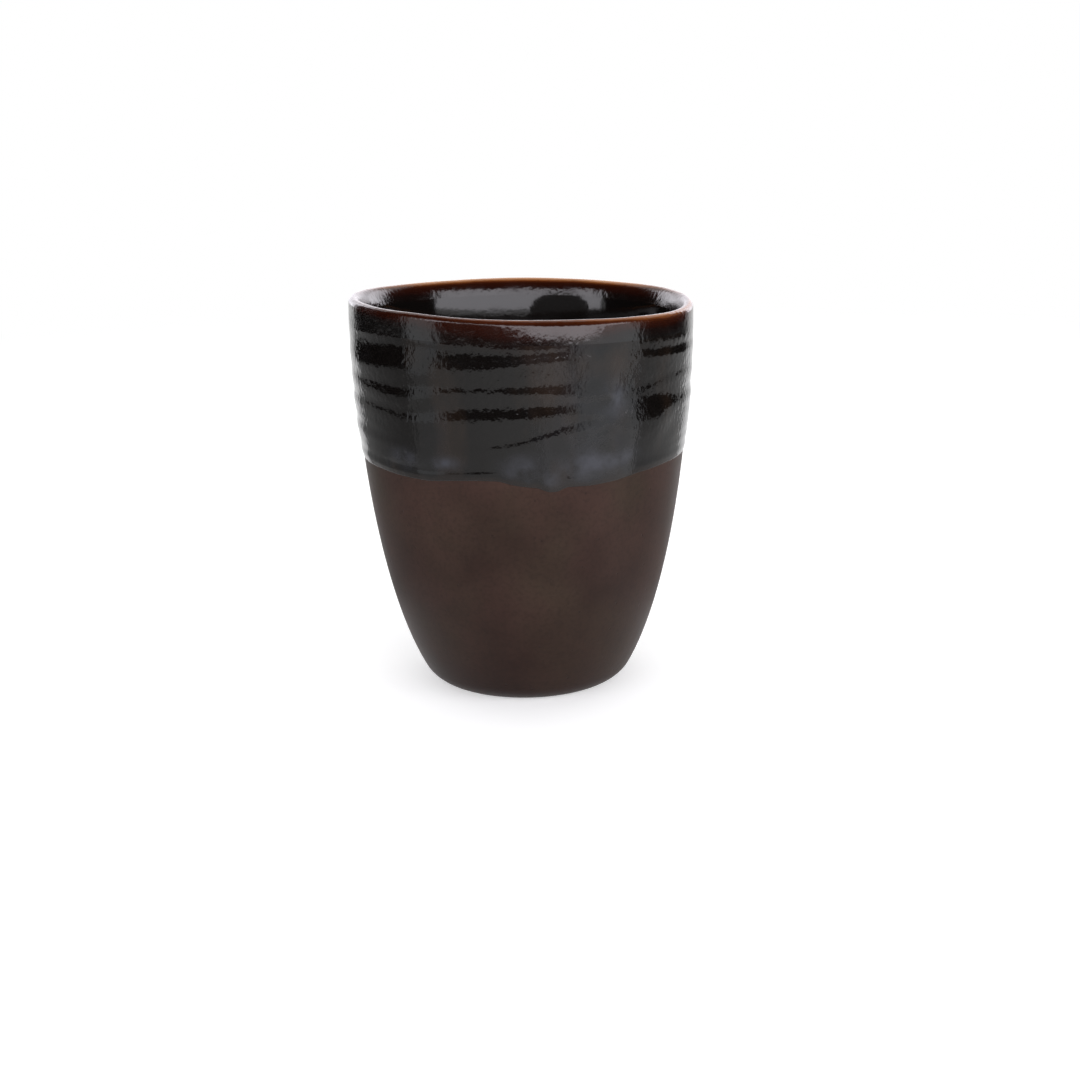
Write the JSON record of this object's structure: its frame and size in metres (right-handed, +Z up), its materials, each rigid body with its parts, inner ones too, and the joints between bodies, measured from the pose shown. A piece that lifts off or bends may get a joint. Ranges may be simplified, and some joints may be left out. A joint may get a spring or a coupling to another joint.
{
  "type": "coffee mug",
  "caption": "Wheel-thrown stoneware coffee mug without a handle: tapered round wall, rounded foot, glossy glazed upper half and inside, bare clay below. Holds a hot drink.",
  "frame": {"origin": "on the mug's axis, at the plane of the foot ring that it stands on", "axes": "+Z up along the mug's axis towards the rim; the mug is round, so +X and +Y are any two square directions"},
  "size_m": [0.082, 0.082, 0.0948],
  "materials": {
    "bare_stoneware": "matt fired dark stoneware, fine grained",
    "brown_glaze": "gloss, near-black brown",
    "amber_glaze": "gloss, red-brown breaking to amber at the edge",
    "black_glaze": "satin gloss, black over soft throwing rings"
  },
  "bodies": {
    "root": {"clay_body": "bare_stoneware", "liner_glaze": "brown_glaze", "rim_glaze": "amber_glaze", "band_glaze": "black_glaze"}
  },
  "joints": []
}
